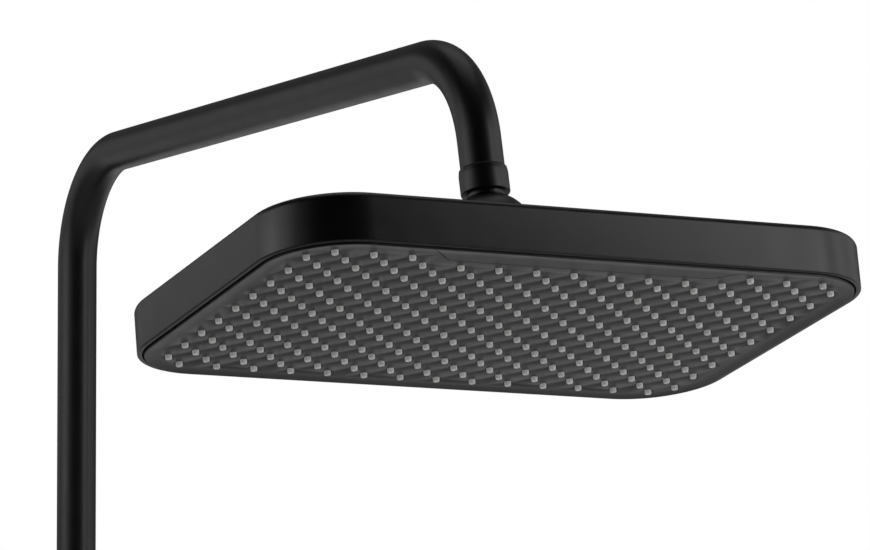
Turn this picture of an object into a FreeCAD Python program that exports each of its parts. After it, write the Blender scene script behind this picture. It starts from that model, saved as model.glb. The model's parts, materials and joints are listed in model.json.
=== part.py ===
"""Shower column: a wall fed riser, a bent overhead arm, a ball joint and a rectangular rain head.

Frame: millimetres, +Z up. The wall is the plane y = 0 and the column stands on its -Y side.
The origin is where the water inlet's axis meets the wall. The riser is parallel to Z.

Three places are used below:
  world   the frame above
  tip     z along the drop tube's axis, pointing up, origin at the ball's centre
  head    z square to the head's face, pointing up, x along its long side, origin at the ball's centre
"""
import FreeCAD, Part
import math
import os

V = FreeCAD.Vector

# ---- driving dimensions -------------------------------------------------------------------------

# tube runs
TUBE_R = 11.0               # riser and arm, outside
TUBE_BORE_R = 9.8
STANDOFF = 70.0             # wall to riser axis
ARM_HEIGHT = 880.0          # inlet axis to arm axis
ARM_REACH = 490.0           # riser axis to the corner over the drop tube
ARM_LEG = 279.1             # arm axis down to the arm tube's lower end
BEND_R = 60.0               # centreline radius of both bends
DROP_LEAN = 14.0            # drop tube, degrees from upright, foot outwards

# water inlet
THREAD_HALF_R = 10.4775     # half inch pipe thread, largest radius
INLET_THREAD_LEN = 16.0
ELBOW_R = 13.0
ELBOW_BALL_R = 16.0
ELBOW_BORE_R = 7.5
SOCKET_R = 14.0             # outside of the riser socket, threaded
SOCKET_TOP = 30.0
SOCKET_FLOOR = 13.0
INLET_ROSETTE_R = 32.0
INLET_ROSETTE_DEPTH = 12.0
UNION_NUT_FLATS = 34.0
UNION_NUT_LOW = 17.0
UNION_NUT_TOP = 38.0

# joint between riser and arm, inside the wall bracket
JOINT_Z = ARM_HEIGHT - ARM_LEG - 0.9    # top end of the riser
COUPLER_R = 9.74
COUPLER_BORE_R = 7.2
COUPLER_DOWN = 30.0
COUPLER_UP = 55.0
COUPLER_GROOVE_R = 8.0
COUPLER_GROOVES = (25.0, 40.0)          # heights of the ring grooves over the joint
WASHER_THICK = 0.8
SWIVEL_LIMIT = 60.0                     # each way

# wall bracket
BRACKET_Z = JOINT_Z - 12.0
CLAMP_R = 18.0
CLAMP_LOW = JOINT_Z - 28.0
CLAMP_TOP = JOINT_Z + 24.0
BUSH_LOW = JOINT_Z + 12.0
BUSH_R = 13.0
BUSH_BORE_R = 11.08
STOP_Z = JOINT_Z + 8.0
STOP_PIN_R = 1.6
STOP_PIN_TIP = 14.0
STOP_GROOVE_R = 14.6
STOP_GROOVE_HALF_HEIGHT = 2.2
POST_R = 8.0
POST_STUD_R = 5.0
BASE_R = 24.0
BASE_THICK = 7.0
BASE_BOSS_R = 11.0
BASE_BOSS_END = 20.0
WALL_SCREW_SPACING = 32.0
WALL_SCREW_HOLE_R = 2.75
BRACKET_ROSETTE_R = 30.0
BRACKET_ROSETTE_DEPTH = 16.0
GRUB_R = 2.45

# collar and ball, as distances along the drop tube from the corner of the arm and drop axes
BALL_AT = 101.0
TUBE_END_AT = 63.5
COLLAR_TOP_AT = 62.0
COLLAR_END_AT = 75.7
COLLAR_R = 12.25
NIPPLE_TOP_AT = 48.0
NIPPLE_END_AT = 69.5
STEM_FLANGE_AT = 71.4
COLLAR_WEB_AT = 73.4
COLLAR_CORNER = 0.8
COLLAR_NOSE_R = 9.8         # narrower nose under the collar, hollowed to follow the dome
COLLAR_NOSE_AT = 77.6
COLLAR_HOLLOW_R = 25.35     # about the ball's centre
BALL_R = 11.0
NECK_R = 4.2
STEM_BORE_R = 2.8
STEM_FOOT_R = 3.8

# ball seats: parts of a spherical shell round the ball, angles from the axis
SEAT_IN_R = 11.35
SEAT_OUT_R = 14.1
UPPER_SEAT_ANGLES = (40.0, 75.0)
LOWER_SEAT_ANGLES = (104.0, 122.0)

# ball socket, heights over the ball's centre
CAVITY_R = 14.5
BOSS_R = 17.2
BOSS_TOP = 2.0
BOSS_FLOOR = -11.0
BOSS_FLANGE_R = 19.6
CAP_R = 22.0
CAP_WALL = 2.0
CAP_CENTRE = 3.25           # the dome's own centre
CAP_MOUTH_R = 10.0
CAP_MOUTH_ROUND = 0.8
RING_NUT_OPEN_ANGLE = 38.5
RING_NUT_TOP = 15.5
RING_NUT_LOW = -9.0

# rain head
HEAD_PITCH = 12.0           # degrees, face turned outwards at rest
HEAD_ROLL = 1.0             # degrees, sideways at rest
HEAD_LENGTH = 318.0
HEAD_WIDTH = 216.0
HEAD_CORNER_R = 42.0
HEAD_HEIGHT = 24.5
HEAD_WALL = 2.6
HEAD_EDGE_R = 4.0           # round along the top edge
LIP_EDGE_R = 0.9
LIP_Z = -41.1               # lower edge of the side wall
TOP_Z = LIP_Z + HEAD_HEIGHT
GROOVE = 0.9                # gap between lip and face plate

# nozzles: staggered rows parallel to the long side
ROW_STEP = 10.0
NOZZLE_ROWS = 9             # rows each side of the middle one
NOZZLE_COLUMNS = 14         # half pitches each side of the middle
STRIP_COLUMNS = 8           # in the front row, nozzles nearer the middle than this are left out
NOZZLE_R = 2.0
NOZZLE_TIP_R = 1.6
NOZZLE_OUT = 1.85           # how far they stand out of the face
ORIFICE_R = 0.5
FACE_HOLE_R = 2.35

# face plate and water box
FACE_Z = LIP_Z - 0.1        # flat middle of the face
FACE_BACK_Z = FACE_Z + 2.3
FACE_RIM_TOP_Z = FACE_Z + 3.5
FACE_DISH = 0.8             # how far the face comes down at its edge
FACE_DISH_WIDTH = 7.0
FACE_EDGE = 0.5             # level land outside the slope
DISH_STEPS = 5
STRIP_Y = -87.8             # engraved line on the face, its long stretch
STRIP_HALF = 70.0           # middle to the corner where the line turns outwards
STRIP_BEND_R = 8.0
STRIP_TURN = 46.4           # degrees
STRIP_END_LEG = 20.3        # corner to the line's end
STRIP_LINE = 0.5            # width of the line
STRIP_DEPTH = 0.3
MAT_THICK = 1.8
MAT_INSET = 8.0             # head outline to the mat's edge
BOX_INSET = 13.0            # head outline to the water box's wall
BOX_WALL = 1.8
BOX_TOP_Z = -24.5
BOX_PLATE = 2.5
FLANGE_THICK = 2.0
SCREW_INSET = 10.5          # head outline to the line of screws
SCREW_R = 1.25
SCREW_HEAD_R = 2.3
SPIGOT_R = 8.5
SPIGOT_BORE_R = 6.0
SPIGOT_TOP = -13.4


# ---- helpers ------------------------------------------------------------------------------------

def turned(start, *steps):
    """A solid of revolution about Z. A step is a point (r, z), or (middle, end) of an arc."""
    here = V(start[0], 0, start[1])
    first = here
    edges = []
    for step in steps + (start,):
        if isinstance(step[0], tuple):
            middle = V(step[0][0], 0, step[0][1])
            end = V(step[1][0], 0, step[1][1])
            edges.append(Part.Arc(here, middle, end).toShape())
        else:
            end = V(step[0], 0, step[1])
            if (end - here).Length < 1e-7:
                continue
            edges.append(Part.makeLine(here, end))
        here = end
    if (here - first).Length > 1e-7:
        edges.append(Part.makeLine(here, first))
    return Part.Face(Part.Wire(edges)).revolve(V(0, 0, 0), V(0, 0, 1), 360)


def ring(inner, outer, low, high):
    """A plain ring about Z."""
    return turned((inner, low), (outer, low), (outer, high), (inner, high))


def on_arc(radius, angle):
    """Point (r, z) on a circle about the origin, angle in degrees from +Z."""
    turn = math.radians(angle)
    return (radius * math.sin(turn), radius * math.cos(turn))


def torus(major, minor, height):
    """An O-ring about Z."""
    body = Part.makeTorus(major, minor)
    body.translate(V(0, 0, height))
    return body


def rounded_outline(half_x, half_y, radius, height):
    """A rectangle with round corners, as a wire in a level plane."""
    corners = ((1, 1, 0), (-1, 1, 90), (-1, -1, 180), (1, -1, 270))
    edges = []
    ends = []
    for sign_x, sign_y, start in corners:
        centre = V(sign_x * (half_x - radius), sign_y * (half_y - radius), height)
        points = []
        for turn in (start, start + 45, start + 90):
            angle = math.radians(turn)
            points.append(centre + V(radius * math.cos(angle), radius * math.sin(angle), 0))
        edges.append(Part.Arc(*points).toShape())
        ends.append((points[0], points[2]))
    for i in range(4):
        edges.append(Part.makeLine(ends[i][1], ends[(i + 1) % 4][0]))
    return Part.Wire(Part.__sortEdges__(edges))


def head_outline(inset, height):
    """The head's outline moved inwards by inset."""
    return rounded_outline(HEAD_LENGTH / 2 - inset, HEAD_WIDTH / 2 - inset,
                           HEAD_CORNER_R - inset, height)


def head_slab(inset, low, high):
    """A slab with the head's outline moved inwards by inset."""
    return Part.Face(head_outline(inset, low)).extrude(V(0, 0, high - low))


def head_frame(outer_inset, inner_inset, low, high):
    """A rectangular ring that follows the head's outline."""
    wires = [head_outline(outer_inset, low), head_outline(inner_inset, low)]
    return Part.makeFace(wires, "Part::FaceMakerBullseye").extrude(V(0, 0, high - low))


def drilled_slab(inset, low, high, points, radius):
    """A slab with the head's outline moved inwards by inset, with a hole at each point."""
    wires = [head_outline(inset, low)]
    for x, y in points:
        wires.append(Part.Wire([Part.makeCircle(radius, V(x, y, low))]))
    return Part.makeFace(wires, "Part::FaceMakerBullseye").extrude(V(0, 0, high - low))


def along_y(shape, x, y, z):
    """Turn a solid made about Z so that its +Z points to -Y, then move it."""
    shape.rotate(V(0, 0, 0), V(1, 0, 0), 90)
    shape.translate(V(x, y, z))
    return shape


def at_riser(shape):
    """Move a solid made about Z onto the riser's axis."""
    shape.translate(V(0, -STANDOFF, 0))
    return shape


CORNER = V(0, -STANDOFF - ARM_REACH, ARM_HEIGHT)
LEAN = math.radians(DROP_LEAN)
DROP = V(0, -math.sin(LEAN), -math.cos(LEAN))
BALL = CORNER + DROP * BALL_AT


def at_tip(shape):
    """Place a solid made in the tip's frame."""
    shape.rotate(V(0, 0, 0), V(1, 0, 0), -DROP_LEAN)
    shape.translate(BALL)
    return shape


def at_pitch(shape):
    """Place a solid in the head's frame before the head rolls sideways."""
    shape.rotate(V(0, 0, 0), V(1, 0, 0), -HEAD_PITCH)
    shape.translate(BALL)
    return shape


def at_head(shape):
    """Place a solid made in the head's frame."""
    shape.rotate(V(0, 0, 0), V(0, 1, 0), HEAD_ROLL)
    return at_pitch(shape)


def height_of(distance):
    """Height in the tip's frame of a distance along the drop tube."""
    return BALL_AT - distance


# ---- water inlet --------------------------------------------------------------------------------

def inlet_elbow():
    """Brass elbow: threaded spigot into the wall, ball corner, threaded socket up for the riser."""
    chamfer = 1.2
    spigot = turned((0, -INLET_THREAD_LEN), (THREAD_HALF_R - chamfer, -INLET_THREAD_LEN),
                    (THREAD_HALF_R, -INLET_THREAD_LEN + chamfer), (THREAD_HALF_R, 0), (0, 0))
    branch = Part.makeCylinder(ELBOW_R, STANDOFF)
    body = along_y(spigot, 0, 0, 0).fuse(along_y(branch, 0, 0, 0))
    ball = Part.makeSphere(ELBOW_BALL_R, V(0, -STANDOFF, 0))
    socket = turned((0, 0), (SOCKET_R, 0), (SOCKET_R, SOCKET_TOP - 1), (SOCKET_R - 1, SOCKET_TOP),
                    (0, SOCKET_TOP))
    body = body.fuse([ball, at_riser(socket)])
    level_bore = along_y(Part.makeCylinder(ELBOW_BORE_R, STANDOFF + INLET_THREAD_LEN), 0,
                         INLET_THREAD_LEN, 0)
    upright = turned((0, 0), (ELBOW_BORE_R, 0), (ELBOW_BORE_R, SOCKET_FLOOR),
                     (TUBE_R + 0.05, SOCKET_FLOOR), (TUBE_R + 0.05, SOCKET_TOP - 2),
                     (TUBE_R + 1.6, SOCKET_TOP), (0, SOCKET_TOP))
    corner = Part.makeSphere(ELBOW_BORE_R, V(0, -STANDOFF, 0))
    return body.cut([level_bore, at_riser(upright), corner])


def rosette(radius, depth, hole, wall):
    """A dished cover plate about Z, its rim on z = 0, with a round shoulder."""
    bend = 6.0
    centre = (radius - bend, depth - bend)
    inner_bend = bend - wall
    diagonal = math.sqrt(0.5)
    outer_middle = (centre[0] + bend * diagonal, centre[1] + bend * diagonal)
    inner_middle = (centre[0] + inner_bend * diagonal, centre[1] + inner_bend * diagonal)
    return turned((radius, 0), (radius, centre[1]), (outer_middle, (centre[0], depth)), (hole, depth),
                  (hole, depth - wall), (centre[0], depth - wall),
                  (inner_middle, (radius - wall, centre[1])), (radius - wall, 0))


def inlet_rosette():
    return along_y(rosette(INLET_ROSETTE_R, INLET_ROSETTE_DEPTH, ELBOW_R + 0.1, 1.6), 0, 0, 0)


def rosette_seal():
    inner = INLET_ROSETTE_R - 6.0
    outer = INLET_ROSETTE_R - 1.8
    return along_y(ring(inner, outer, 0, 1.2), 0, 0, 0)


def riser_union_nut():
    """Hexagon nut over the socket, closed in at the top to press on the olive."""
    corner_r = UNION_NUT_FLATS / math.sqrt(3)
    points = []
    for i in range(7):
        angle = math.radians(60 * i)
        points.append(V(corner_r * math.cos(angle), corner_r * math.sin(angle), UNION_NUT_LOW))
    height = UNION_NUT_TOP - UNION_NUT_LOW
    hexagon = Part.Face(Part.makePolygon(points)).extrude(V(0, 0, height))
    bevel = 2.2
    envelope = turned((0, UNION_NUT_LOW), (corner_r - bevel, UNION_NUT_LOW),
                      (corner_r, UNION_NUT_LOW + bevel * 0.6), (corner_r, UNION_NUT_TOP - bevel * 0.6),
                      (corner_r - bevel, UNION_NUT_TOP), (0, UNION_NUT_TOP))
    bore = turned((0, UNION_NUT_LOW), (SOCKET_R + 0.05, UNION_NUT_LOW), (SOCKET_R + 0.05, 33.0),
                  (TUBE_R + 0.3, 36.2), (TUBE_R + 0.15, UNION_NUT_TOP), (0, UNION_NUT_TOP))
    return at_riser(hexagon.common(envelope).cut(bore))


def riser_olive():
    """Compression ring between the socket's cone and the nut."""
    inner = TUBE_R + 0.02
    return at_riser(turned((inner, 29.0), (inner + 0.6, 29.0), (inner + 1.7, 31.0),
                           (inner + 1.7, 33.2), (inner + 0.5, 35.0), (inner, 35.0)))


# ---- riser and its joint with the arm -----------------------------------------------------------

def riser_tube():
    return at_riser(ring(TUBE_BORE_R, TUBE_R, SOCKET_FLOOR, JOINT_Z))


def riser_coupler():
    """Spigot pressed into the riser's top, with a lighter end for the arm tube to turn on."""
    chamfer = 1.0
    top = JOINT_Z + COUPLER_UP
    body = turned((COUPLER_BORE_R, JOINT_Z - COUPLER_DOWN), (TUBE_BORE_R, JOINT_Z - COUPLER_DOWN),
                  (TUBE_BORE_R, JOINT_Z - 0.2), (COUPLER_R, JOINT_Z - 0.2), (COUPLER_R, top - chamfer),
                  (COUPLER_R - chamfer, top), (COUPLER_BORE_R, top))
    grooves = []
    for height in COUPLER_GROOVES:
        middle = JOINT_Z + height
        grooves.append(ring(COUPLER_GROOVE_R, COUPLER_R + 1, middle - 1.0, middle + 1.0))
    return at_riser(body.cut(grooves))


def coupler_o_rings():
    minor = (COUPLER_R - COUPLER_GROOVE_R) / 2
    rings = []
    for height in COUPLER_GROOVES:
        rings.append(at_riser(torus(COUPLER_GROOVE_R + minor, minor, JOINT_Z + height)))
    return Part.makeCompound(rings)


def arm_thrust_washer():
    return at_riser(ring(TUBE_BORE_R + 0.05, TUBE_R, JOINT_Z, JOINT_Z + WASHER_THICK))


# ---- wall bracket -------------------------------------------------------------------------------

def bracket_base():
    """Disc for two wall screws, with a boss that holds the post."""
    body = turned((0, 0), (BASE_R, 0), (BASE_R, BASE_THICK - 1), (BASE_R - 1, BASE_THICK),
                  (BASE_BOSS_R, BASE_THICK), (BASE_BOSS_R, BASE_BOSS_END), (0, BASE_BOSS_END))
    cuts = [Part.makeCylinder(POST_R + 0.05, BASE_BOSS_END, V(0, 0, BASE_THICK - 3))]
    for side in (-1, 1):
        hole = Part.makeCylinder(WALL_SCREW_HOLE_R, BASE_THICK)
        hole.translate(V(side * WALL_SCREW_SPACING / 2, 0, 0))
        cuts.append(hole)
    grub_hole = Part.makeCylinder(GRUB_R + 0.05, BASE_BOSS_R, V(0, 0, 18.0), V(0, -1, 0))
    cuts.append(grub_hole)
    return along_y(body.cut(cuts), 0, 0, BRACKET_Z)


def bracket_post():
    """Round standoff between base and clamp ring, with a threaded end."""
    start = BASE_THICK - 3
    shoulder = STANDOFF - CLAMP_R
    body = turned((0, start), (POST_R, start), (POST_R, shoulder + 0.6), (POST_STUD_R, shoulder + 0.6),
                  (POST_STUD_R, shoulder + 5.5), (0, shoulder + 5.5))
    return along_y(body, 0, 0, BRACKET_Z)


def bracket_rosette():
    return along_y(rosette(BRACKET_ROSETTE_R, BRACKET_ROSETTE_DEPTH, BASE_BOSS_R + 0.1, 1.6),
                   0, 0, BRACKET_Z)


def bracket_clamp():
    """Ring round both tubes. It grips the riser, and guides the arm and its stop pin."""
    edge = 1.5
    body = turned((TUBE_R + 0.05, CLAMP_LOW), (CLAMP_R - edge, CLAMP_LOW), (CLAMP_R, CLAMP_LOW + edge),
                  (CLAMP_R, CLAMP_TOP - edge), (CLAMP_R - edge, CLAMP_TOP), (BUSH_R, CLAMP_TOP),
                  (BUSH_R, BUSH_LOW), (TUBE_R + 0.4, BUSH_LOW), (TUBE_R + 0.4, JOINT_Z),
                  (TUBE_R + 0.05, JOINT_Z))
    low = STOP_Z - STOP_GROOVE_HALF_HEIGHT
    half_angle = SWIVEL_LIMIT + 0.6 + math.degrees(math.asin(STOP_PIN_R / (TUBE_R + 0.4)))
    groove = Part.makeCylinder(STOP_GROOVE_R, 2 * STOP_GROOVE_HALF_HEIGHT, V(0, 0, low), V(0, 0, 1),
                               2 * half_angle)
    groove.rotate(V(0, 0, 0), V(0, 0, 1), 90 - half_angle)
    cuts = [groove]
    seat = turned((0, 0), (POST_R + 0.05, 0), (POST_R + 0.05, 0.6), (POST_STUD_R, 0.6),
                  (POST_STUD_R, 5.6), (0, 5.6))
    seat.rotate(V(0, 0, 0), V(1, 0, 0), 90)
    seat.translate(V(0, CLAMP_R, BRACKET_Z))
    cuts.append(seat)
    for side in (-1, 1):
        cuts.append(Part.makeCylinder(GRUB_R + 0.05, CLAMP_R, V(0, 0, BRACKET_Z), V(side, 0, 0)))
    return at_riser(body.cut(cuts))


def arm_bush():
    return at_riser(ring(BUSH_BORE_R, BUSH_R - 0.02, BUSH_LOW, CLAMP_TOP + 0.6))


def grub_screw(length):
    """Set screw along Z, its hexagon socket at z = 0 and its point at -length."""
    socket_r = 1.4
    points = []
    for i in range(7):
        angle = math.radians(60 * i)
        points.append(V(socket_r * math.cos(angle), socket_r * math.sin(angle), 0))
    socket = Part.Face(Part.makePolygon(points)).extrude(V(0, 0, -2.2))
    body = turned((0, 0), (GRUB_R - 0.4, 0), (GRUB_R, -0.4), (GRUB_R, -length + 0.8),
                  (GRUB_R - 0.8, -length), (0, -length))
    return body.cut(socket)


def bracket_grub_screws():
    """Two screws that lock the riser in the clamp ring, and one that locks the post in the base."""
    screws = []
    for side in (-1, 1):
        screw = grub_screw(6.0)
        screw.rotate(V(0, 0, 0), V(0, 1, 0), 90 * side)
        screw.translate(V(side * (CLAMP_R - 0.9), -STANDOFF, BRACKET_Z))
        screws.append(screw)
    screw = grub_screw(2.8)
    screw.rotate(V(0, 0, 0), V(1, 0, 0), 180)
    screw.translate(V(0, -18.0, BRACKET_Z - BASE_BOSS_R + 0.1))
    screws.append(screw)
    return Part.makeCompound(screws)


# ---- overhead arm -------------------------------------------------------------------------------

def arm_path():
    """Centreline of the arm tube: up, out and down, with two tangent bends."""
    up = V(0, 0, 1)
    out = V(0, -1, 0)
    foot = V(0, -STANDOFF, JOINT_Z + WASHER_THICK + 0.1)
    first = V(0, -STANDOFF, ARM_HEIGHT)
    end = CORNER + DROP * TUBE_END_AT
    edges = []
    here = foot
    for corner, before, after in ((first, up, out), (CORNER, out, DROP)):
        turn = before.getAngle(after)
        setback = BEND_R * math.tan(turn / 2)
        start = corner - before * setback
        finish = corner + after * setback
        inward = (after - before)
        inward.normalize()
        centre = corner + inward * (BEND_R / math.cos(turn / 2))
        middle = centre - inward * BEND_R
        edges.append(Part.makeLine(here, start))
        edges.append(Part.Arc(start, middle, finish).toShape())
        here = finish
    edges.append(Part.makeLine(here, end))
    return Part.Wire(edges)


def arm_tube():
    path = arm_path()
    foot = V(0, -STANDOFF, JOINT_Z + WASHER_THICK + 0.1)
    skins = []
    for radius in (TUBE_R, TUBE_BORE_R):
        circle = Part.Wire([Part.makeCircle(radius, foot, V(0, 0, 1))])
        skins.append(path.makePipeShell([circle], True, True))
    tube = skins[0].cut(skins[1])
    pin_hole = Part.makeCylinder(STOP_PIN_R, TUBE_R + 1, V(0, -STANDOFF, STOP_Z), V(0, 1, 0))
    return tube.cut(pin_hole)


def arm_stop_pin():
    """Pin in the arm tube's wall, on the side towards the wall."""
    start = TUBE_BORE_R + 0.05
    return Part.makeCylinder(STOP_PIN_R, STOP_PIN_TIP - start, V(0, -STANDOFF + start, STOP_Z),
                             V(0, 1, 0))


def arm_nipple():
    """End piece brazed in the drop tube, with the half inch thread that the collar grips."""
    top = height_of(NIPPLE_TOP_AT)
    shoulder = height_of(TUBE_END_AT)
    low = height_of(NIPPLE_END_AT)
    bore = COUPLER_BORE_R
    return at_tip(turned((bore, low), (THREAD_HALF_R - 0.6, low), (THREAD_HALF_R, low + 0.6),
                         (THREAD_HALF_R, shoulder), (TUBE_BORE_R, shoulder), (TUBE_BORE_R, top),
                         (bore, top)))


def flow_restrictor():
    """Disc with one metering hole, pushed into the nipple."""
    top = height_of(60.0)
    low = height_of(63.0)
    return at_tip(turned((2.2, low), (COUPLER_BORE_R - 0.02, low), (COUPLER_BORE_R - 0.02, top),
                         (3.6, top)))


def filter_screen():
    """Perforated disc over the washer."""
    top = height_of(NIPPLE_END_AT - 1.1)
    disc = Part.makeCylinder(COUPLER_BORE_R - 0.05, 0.6, V(0, 0, top - 0.6))
    holes = [Part.makeCylinder(0.75, 1.0, V(0, 0, top - 0.8))]
    for count, radius in ((6, 2.4), (12, 4.9)):
        for i in range(count):
            angle = 2 * math.pi * i / count
            holes.append(Part.makeCylinder(0.75, 1.0, V(radius * math.cos(angle),
                                                        radius * math.sin(angle), top - 0.8)))
    return at_tip(disc.cut(holes))


def stem_washer():
    return at_tip(ring(6.0, 9.6, height_of(STEM_FLANGE_AT), height_of(NIPPLE_END_AT)))


def swivel_nut():
    """The collar: a round nut with a soft shoulder against the tube and a hollowed nose below."""
    top = height_of(COLLAR_TOP_AT)
    low = height_of(COLLAR_END_AT)
    nose = height_of(COLLAR_NOSE_AT)
    web = height_of(COLLAR_WEB_AT)
    shoulder = 3.4
    tube_gap = TUBE_R + 0.06
    rounding = ((COLLAR_R - 0.25, top - shoulder * 0.45), (tube_gap + 0.35, top))
    hole_angle = math.degrees(math.asin((NECK_R + 0.5) / COLLAR_HOLLOW_R))
    rim_angle = math.degrees(math.acos(nose / COLLAR_HOLLOW_R))
    hollow = (on_arc(COLLAR_HOLLOW_R, (hole_angle + rim_angle) / 2), on_arc(COLLAR_HOLLOW_R, rim_angle))
    return at_tip(turned(on_arc(COLLAR_HOLLOW_R, hole_angle), hollow, (COLLAR_NOSE_R, nose + 0.3),
                         (COLLAR_NOSE_R, low), (COLLAR_R - COLLAR_CORNER, low),
                         (COLLAR_R, low + COLLAR_CORNER),
                         (COLLAR_R, top - shoulder), rounding, (tube_gap, top),
                         (tube_gap, height_of(TUBE_END_AT)), (THREAD_HALF_R + 0.05, height_of(TUBE_END_AT)),
                         (THREAD_HALF_R + 0.05, web), (NECK_R + 0.5, web)))


def ball_stem():
    """Hollow ball with its neck and the flange that the collar clamps."""
    flange_top = height_of(STEM_FLANGE_AT)
    flange_low = height_of(COLLAR_WEB_AT)
    neck_angle = math.degrees(math.asin(NECK_R / BALL_R))
    foot_angle = 180 - math.degrees(math.asin(STEM_FOOT_R / BALL_R))
    neck_end = on_arc(BALL_R, neck_angle)
    foot = on_arc(BALL_R, foot_angle)
    return at_tip(turned((STEM_BORE_R, flange_top), (9.4, flange_top), (9.4, flange_low),
                         (NECK_R, flange_low), neck_end, ((BALL_R, 0.0), foot), (STEM_BORE_R, foot[1])))


# ---- ball seats ---------------------------------------------------------------------------------

def spherical_ring(angles):
    """Part of a spherical shell round the ball, between two angles from the axis."""
    top, low = angles
    middle = (top + low) / 2
    return turned(on_arc(SEAT_IN_R, top), on_arc(SEAT_OUT_R, top),
                  (on_arc(SEAT_OUT_R, middle), on_arc(SEAT_OUT_R, low)), on_arc(SEAT_IN_R, low),
                  (on_arc(SEAT_IN_R, middle), on_arc(SEAT_IN_R, top)))


def ball_seat_upper():
    return at_tip(spherical_ring(UPPER_SEAT_ANGLES))


def ball_seat_lower():
    return at_pitch(spherical_ring(LOWER_SEAT_ANGLES))


# ---- ball socket on the head --------------------------------------------------------------------

def dome_point(radius, angle):
    """Point (r, z) on a circle about the dome's own centre."""
    r, height = on_arc(radius, angle)
    return (r, CAP_CENTRE + height)


def socket_cap():
    """The dome over the ball joint, its mouth rounded, with a straight skirt to the head's top."""
    inner = CAP_R - CAP_WALL
    rounding = CAP_MOUTH_ROUND
    mouth_angle = math.degrees(math.asin((CAP_MOUTH_R + rounding) / (CAP_R - rounding)))
    lip = dome_point(CAP_R - rounding, mouth_angle)
    over_lip = math.radians(mouth_angle / 2 - 45)
    lip_middle = (lip[0] + rounding * math.sin(over_lip), lip[1] + rounding * math.cos(over_lip))
    inner_angle = math.degrees(math.asin(CAP_MOUTH_R / inner))
    return at_head(turned((CAP_R, TOP_Z), (CAP_R, CAP_CENTRE),
                          (dome_point(CAP_R, (mouth_angle + 90) / 2), dome_point(CAP_R, mouth_angle)),
                          (lip_middle, (CAP_MOUTH_R, lip[1])), dome_point(inner, inner_angle),
                          (dome_point(inner, (inner_angle + 90) / 2), (inner, CAP_CENTRE)),
                          (inner, TOP_Z)))


def socket_ring_nut():
    """Threaded ring that holds the upper seat and the ball down on the socket body."""
    grip = CAP_R - CAP_WALL - 0.1
    over = CAP_R - CAP_WALL - 0.4
    top_angle = math.degrees(math.acos((RING_NUT_TOP - CAP_CENTRE) / over))
    mouth = on_arc(CAVITY_R, RING_NUT_OPEN_ANGLE)
    cavity_edge = math.sqrt(CAVITY_R ** 2 - BOSS_TOP ** 2)
    cavity_middle = on_arc(CAVITY_R, (RING_NUT_OPEN_ANGLE + 82) / 2)
    shoulder = (dome_point(over, (top_angle + 90) / 2), dome_point(over, top_angle))
    return at_head(turned((BOSS_R + 0.05, RING_NUT_LOW), (grip, RING_NUT_LOW), (grip, -1.0),
                          (over, CAP_CENTRE), shoulder,
                          (mouth[0] + 1.8, RING_NUT_TOP), mouth,
                          (cavity_middle, (cavity_edge, BOSS_TOP)), (BOSS_R + 0.05, BOSS_TOP)))


def socket_body():
    """Screwed on the water box's spigot. It clamps the housing and holds the lower seat."""
    bore_edge = CAVITY_R + 0.1
    floor_r = math.sqrt(CAVITY_R ** 2 - BOSS_FLOOR ** 2)
    cavity_middle = on_arc(CAVITY_R, 112)
    spigot_room = SPIGOT_R + 0.1
    flange_top = TOP_Z + 3.0
    housing_low = TOP_Z - HEAD_WALL
    return at_head(turned((6.5, BOSS_FLOOR), (floor_r, BOSS_FLOOR), (cavity_middle, (CAVITY_R, 0)),
                          (bore_edge, 0), (bore_edge, BOSS_TOP), (BOSS_R, BOSS_TOP), (BOSS_R, flange_top),
                          (BOSS_FLANGE_R, flange_top), (BOSS_FLANGE_R, TOP_Z), (12.0, TOP_Z),
                          (12.0, housing_low - 1.5),
                          (spigot_room, housing_low - 1.5), (spigot_room, SPIGOT_TOP + 0.4),
                          (6.5, SPIGOT_TOP + 0.4)))


def ball_seal():
    return at_head(torus(8.1, 1.2, BOSS_FLOOR + 1.25))


# ---- rain head ----------------------------------------------------------------------------------

def nozzle_points():
    """Centres of the nozzles, in staggered rows. The front row has none beside the middle."""
    points = []
    for row in range(-NOZZLE_ROWS, NOZZLE_ROWS + 1):
        for column in range(-NOZZLE_COLUMNS, NOZZLE_COLUMNS + 1):
            if (row + column) % 2:
                continue
            if row == -NOZZLE_ROWS and abs(column) < STRIP_COLUMNS:
                continue
            points.append((column * ROW_STEP, row * ROW_STEP))
    return points


def screw_points():
    """Screws round the water box, evenly spaced along its straight sides."""
    half_x = HEAD_LENGTH / 2 - SCREW_INSET
    half_y = HEAD_WIDTH / 2 - SCREW_INSET
    points = []
    for x in (-105.0, -35.0, 35.0, 105.0):
        points += [(x, half_y), (x, -half_y)]
    for y in (-50.0, 0.0, 50.0):
        points += [(half_x, y), (-half_x, y)]
    return points


def head_housing():
    """Upper shell: flat top, side wall all round, and the lip round the face."""
    outer = head_slab(0, LIP_Z, TOP_Z)
    top_edges = [edge for edge in outer.Edges if edge.BoundBox.ZMin > TOP_Z - 0.01]
    outer = outer.makeFillet(HEAD_EDGE_R, top_edges)
    low_edges = [edge for edge in outer.Edges if edge.BoundBox.ZMax < LIP_Z + 0.01]
    outer = outer.makeFillet(LIP_EDGE_R, low_edges)
    room = head_slab(HEAD_WALL, LIP_Z, TOP_Z - HEAD_WALL)
    shell = outer.cut(room)
    ledge = head_frame(HEAD_WALL - 0.4, HEAD_WALL + 3.0, FACE_RIM_TOP_Z, FACE_RIM_TOP_Z + 2.0)
    mouth = Part.makeCylinder(12.1, 2 * HEAD_WALL, V(0, 0, TOP_Z - 1.5 * HEAD_WALL))
    return at_head(shell.fuse(ledge).cut(mouth))


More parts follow.
